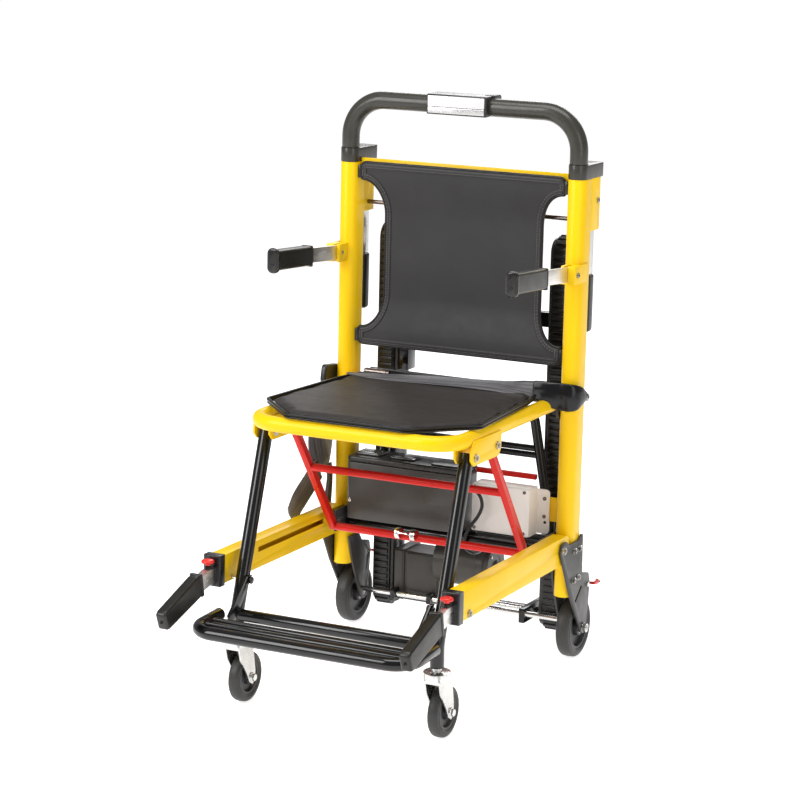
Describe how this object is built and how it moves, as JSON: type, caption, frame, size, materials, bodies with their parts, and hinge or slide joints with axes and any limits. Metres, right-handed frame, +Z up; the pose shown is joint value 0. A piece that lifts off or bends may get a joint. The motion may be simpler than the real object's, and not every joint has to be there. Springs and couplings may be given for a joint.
{
  "type": "stair chair",
  "caption": "Motorised stair chair with a folding seat, sling backrest, carrying handles, casters and rubber stair tracks behind the back.",
  "frame": {"origin": "on the ground, at the middle of the overall length and width", "axes": "+Z up along the longest extent, +X across the seat to the right seen from the front, -Y the way the sitter faces"},
  "size_m": [0.568, 0.888, 1.1357],
  "materials": {
    "yellow_coat": "glossy powder coat",
    "grey_coat": "satin powder coat",
    "bright_steel": "polished",
    "panel_grey": "moulded satin",
    "leatherette": "fine grain leatherette",
    "seat_cloth": "coated cloth",
    "black_plastic": "fine texture",
    "grip_rubber": "moulded rubber",
    "webbing": "woven webbing",
    "red_plastic": "glossy",
    "red_coat": "glossy powder coat",
    "black_coat": "gloss black coat",
    "zinc": "bright zinc plate",
    "tyre_grey": "matte grey rubber",
    "battery_plastic": "fine texture",
    "white_coat": "satin powder coat",
    "dark_casting": "satin grey paint",
    "black_rubber": "ribbed rubber",
    "grey_frame": "satin grey paint"
  },
  "bodies": {
    "chassis": {"upright_right": "yellow_coat", "upright_left": "yellow_coat", "upright_caps": "grey_coat", "rear_blocks": "yellow_coat", "crosspieces": "yellow_coat", "backrest_sling": "leatherette", "sling_clips": "black_plastic", "armrest_brackets": "yellow_coat", "hinge_plates": "black_coat", "frame_bolts": "bright_steel", "belt_ends": "webbing", "rear_frame": "black_coat", "release_bar": "red_coat", "battery_box": "battery_plastic", "battery_lid": "battery_plastic", "controller_box": "white_coat", "gearbox": "dark_casting", "motor": "dark_casting", "cross_rods": "bright_steel", "rod_clamps": "black_coat", "motor_cable": "black_rubber"},
    "push_handle": {"push_handle": "grey_coat", "handle_legs": "bright_steel", "control_panel": "panel_grey"},
    "armrest_right": {"armrest_right": "grip_rubber"},
    "armrest_left": {"armrest_left": "grip_rubber"},
    "rear_handle_right": {"rear_handle_right": "grip_rubber"},
    "rear_handle_left": {"rear_handle_left": "grip_rubber"},
    "seat": {"seat_frame": "yellow_coat", "seat_brackets": "yellow_coat", "seat_bolts": "bright_steel", "seat_pad": "seat_cloth", "seat_pan": "black_plastic", "seat_strap": "webbing"},
    "beams": {"beam_right": "yellow_coat", "beam_left": "yellow_coat", "beam_caps": "black_plastic", "leg_pivot_bolts": "bright_steel"},
    "legs": {"front_leg_right": "black_coat", "front_leg_left": "black_coat", "leg_crossbar": "black_coat"},
    "brace": {"brace_frame": "red_coat"},
    "footrest": {"footrest": "black_coat"},
    "front_handle_right": {"front_handle_right": "grip_rubber"},
    "front_handle_left": {"front_handle_left": "grip_rubber"},
    "button_right": {"release_button_right": "red_plastic"},
    "button_left": {"release_button_left": "red_plastic"},
    "caster_right": {"caster_fork_right": "zinc"},
    "caster_left": {"caster_fork_left": "zinc"},
    "caster_wheel_right": {"caster_wheel_right": "tyre_grey"},
    "caster_wheel_left": {"caster_wheel_left": "tyre_grey"},
    "rear_wheel_right": {"rear_wheel_right": "tyre_grey"},
    "rear_wheel_left": {"rear_wheel_left": "tyre_grey"},
    "brake_right": {"brake_right": "zinc"},
    "brake_left": {"brake_left": "zinc"},
    "tracks": {"track_belts": "black_rubber", "track_frames": "grey_frame", "track_crossbar": "black_coat"},
    "drive": {"drive_axle": "bright_steel"},
    "idlers": {"idlers": "bright_steel"}
  },
  "joints": [
    {"name": "handle_extend", "type": "slide", "parent": "chassis", "child": "push_handle", "axis": [0, 0.0489, 0.9988], "range_m": [0, 0.3]},
    {"name": "armrest_right_lift", "type": "hinge", "parent": "chassis", "child": "armrest_right", "pos_m": [0.255, 0.26715, 0.80283], "axis": [-1, 0, 0], "range_deg": [0, 85]},
    {"name": "rear_handle_right_swing", "type": "hinge", "parent": "chassis", "child": "rear_handle_right", "pos_m": [0.251, 0.37372, 0.93478], "axis": [1, 0, 0], "range_deg": [0, 90]},
    {"name": "armrest_left_lift", "type": "hinge", "parent": "chassis", "child": "armrest_left", "pos_m": [-0.255, 0.26715, 0.80283], "axis": [-1, 0, 0], "range_deg": [0, 85]},
    {"name": "rear_handle_left_swing", "type": "hinge", "parent": "chassis", "child": "rear_handle_left", "pos_m": [-0.251, 0.37372, 0.93478], "axis": [1, 0, 0], "range_deg": [0, 90]},
    {"name": "seat_fold", "type": "hinge", "parent": "chassis", "child": "seat", "pos_m": [0, 0.31667, 0.52358], "axis": [-1, 0, 0], "range_deg": [0, 40]},
    {"name": "beam_fold", "type": "hinge", "parent": "chassis", "child": "beams", "pos_m": [0, 0.21781, 0.25459], "axis": [-1, 0, 0], "range_deg": [0, 40]},
    {"name": "leg_fold", "type": "hinge", "parent": "seat", "child": "legs", "pos_m": [0, -0.10812, 0.52003], "axis": [1, 0, 0], "range_deg": [0, 40]},
    {"name": "brace_swing", "type": "hinge", "parent": "seat", "child": "brace", "pos_m": [0, -0.0119, 0.52213], "axis": [-1, 0, 0], "range_deg": [0, 11]},
    {"name": "footrest_lift", "type": "hinge", "parent": "legs", "child": "footrest", "pos_m": [0, -0.217, 0.252], "axis": [-1, 0, 0], "range_deg": [0, 85]},
    {"name": "front_handle_right_slide", "type": "slide", "parent": "beams", "child": "front_handle_right", "axis": [0, -0.9988, 0.0489], "range_m": [0, 0.1]},
    {"name": "button_right_press", "type": "slide", "parent": "front_handle_right", "child": "button_right", "axis": [0, -0.0489, -0.9988], "range_m": [0, 0.004], "stiffness_N_per_m": 1200},
    {"name": "caster_right_swivel", "type": "hinge", "parent": "legs", "child": "caster_right", "pos_m": [0.214, -0.2304, 0.13], "axis": [0, 0, 1], "continuous": true},
    {"name": "caster_wheel_right_spin", "type": "hinge", "parent": "caster_right", "child": "caster_wheel_right", "pos_m": [0.214, -0.2034, 0.05], "axis": [1, 0, 0], "continuous": true},
    {"name": "rear_wheel_right_spin", "type": "hinge", "parent": "chassis", "child": "rear_wheel_right", "pos_m": [0.252, 0.326, 0.0625], "axis": [1, 0, 0], "continuous": true},
    {"name": "brake_right_press", "type": "hinge", "parent": "chassis", "child": "brake_right", "pos_m": [0.251, 0.34332, 0.14933], "axis": [-1, 0, 0], "range_deg": [0, 12]},
    {"name": "front_handle_left_slide", "type": "slide", "parent": "beams", "child": "front_handle_left", "axis": [0, -0.9988, 0.0489], "range_m": [0, 0.1]},
    {"name": "button_left_press", "type": "slide", "parent": "front_handle_left", "child": "button_left", "axis": [0, -0.0489, -0.9988], "range_m": [0, 0.004], "stiffness_N_per_m": 1200},
    {"name": "caster_left_swivel", "type": "hinge", "parent": "legs", "child": "caster_left", "pos_m": [-0.214, -0.2304, 0.13], "axis": [0, 0, 1], "continuous": true},
    {"name": "caster_wheel_left_spin", "type": "hinge", "parent": "caster_left", "child": "caster_wheel_left", "pos_m": [-0.214, -0.2034, 0.05], "axis": [1, 0, 0], "continuous": true},
    {"name": "rear_wheel_left_spin", "type": "hinge", "parent": "chassis", "child": "rear_wheel_left", "pos_m": [-0.252, 0.326, 0.0625], "axis": [1, 0, 0], "continuous": true},
    {"name": "brake_left_press", "type": "hinge", "parent": "chassis", "child": "brake_left", "pos_m": [-0.251, 0.34332, 0.14933], "axis": [-1, 0, 0], "range_deg": [0, 12]},
    {"name": "track_deploy", "type": "hinge", "parent": "chassis", "child": "tracks", "pos_m": [0, 0.36792, 0.06903], "axis": [-1, 0, 0], "range_deg": [0, 30]},
    {"name": "drive_spin", "type": "hinge", "parent": "tracks", "child": "drive", "pos_m": [0, 0.36792, 0.06903], "axis": [1, 0, 0], "continuous": true},
    {"name": "idler_spin", "type": "hinge", "parent": "tracks", "child": "idlers", "pos_m": [0, 0.40456, 0.81814], "axis": [1, 0, 0], "continuous": true}
  ],
  "couplings": [
    {"joint": "beam_fold", "follows": "seat_fold", "ratio": 1},
    {"joint": "leg_fold", "follows": "seat_fold", "ratio": 1},
    {"joint": "idler_spin", "follows": "drive_spin", "ratio": 1}
  ]
}
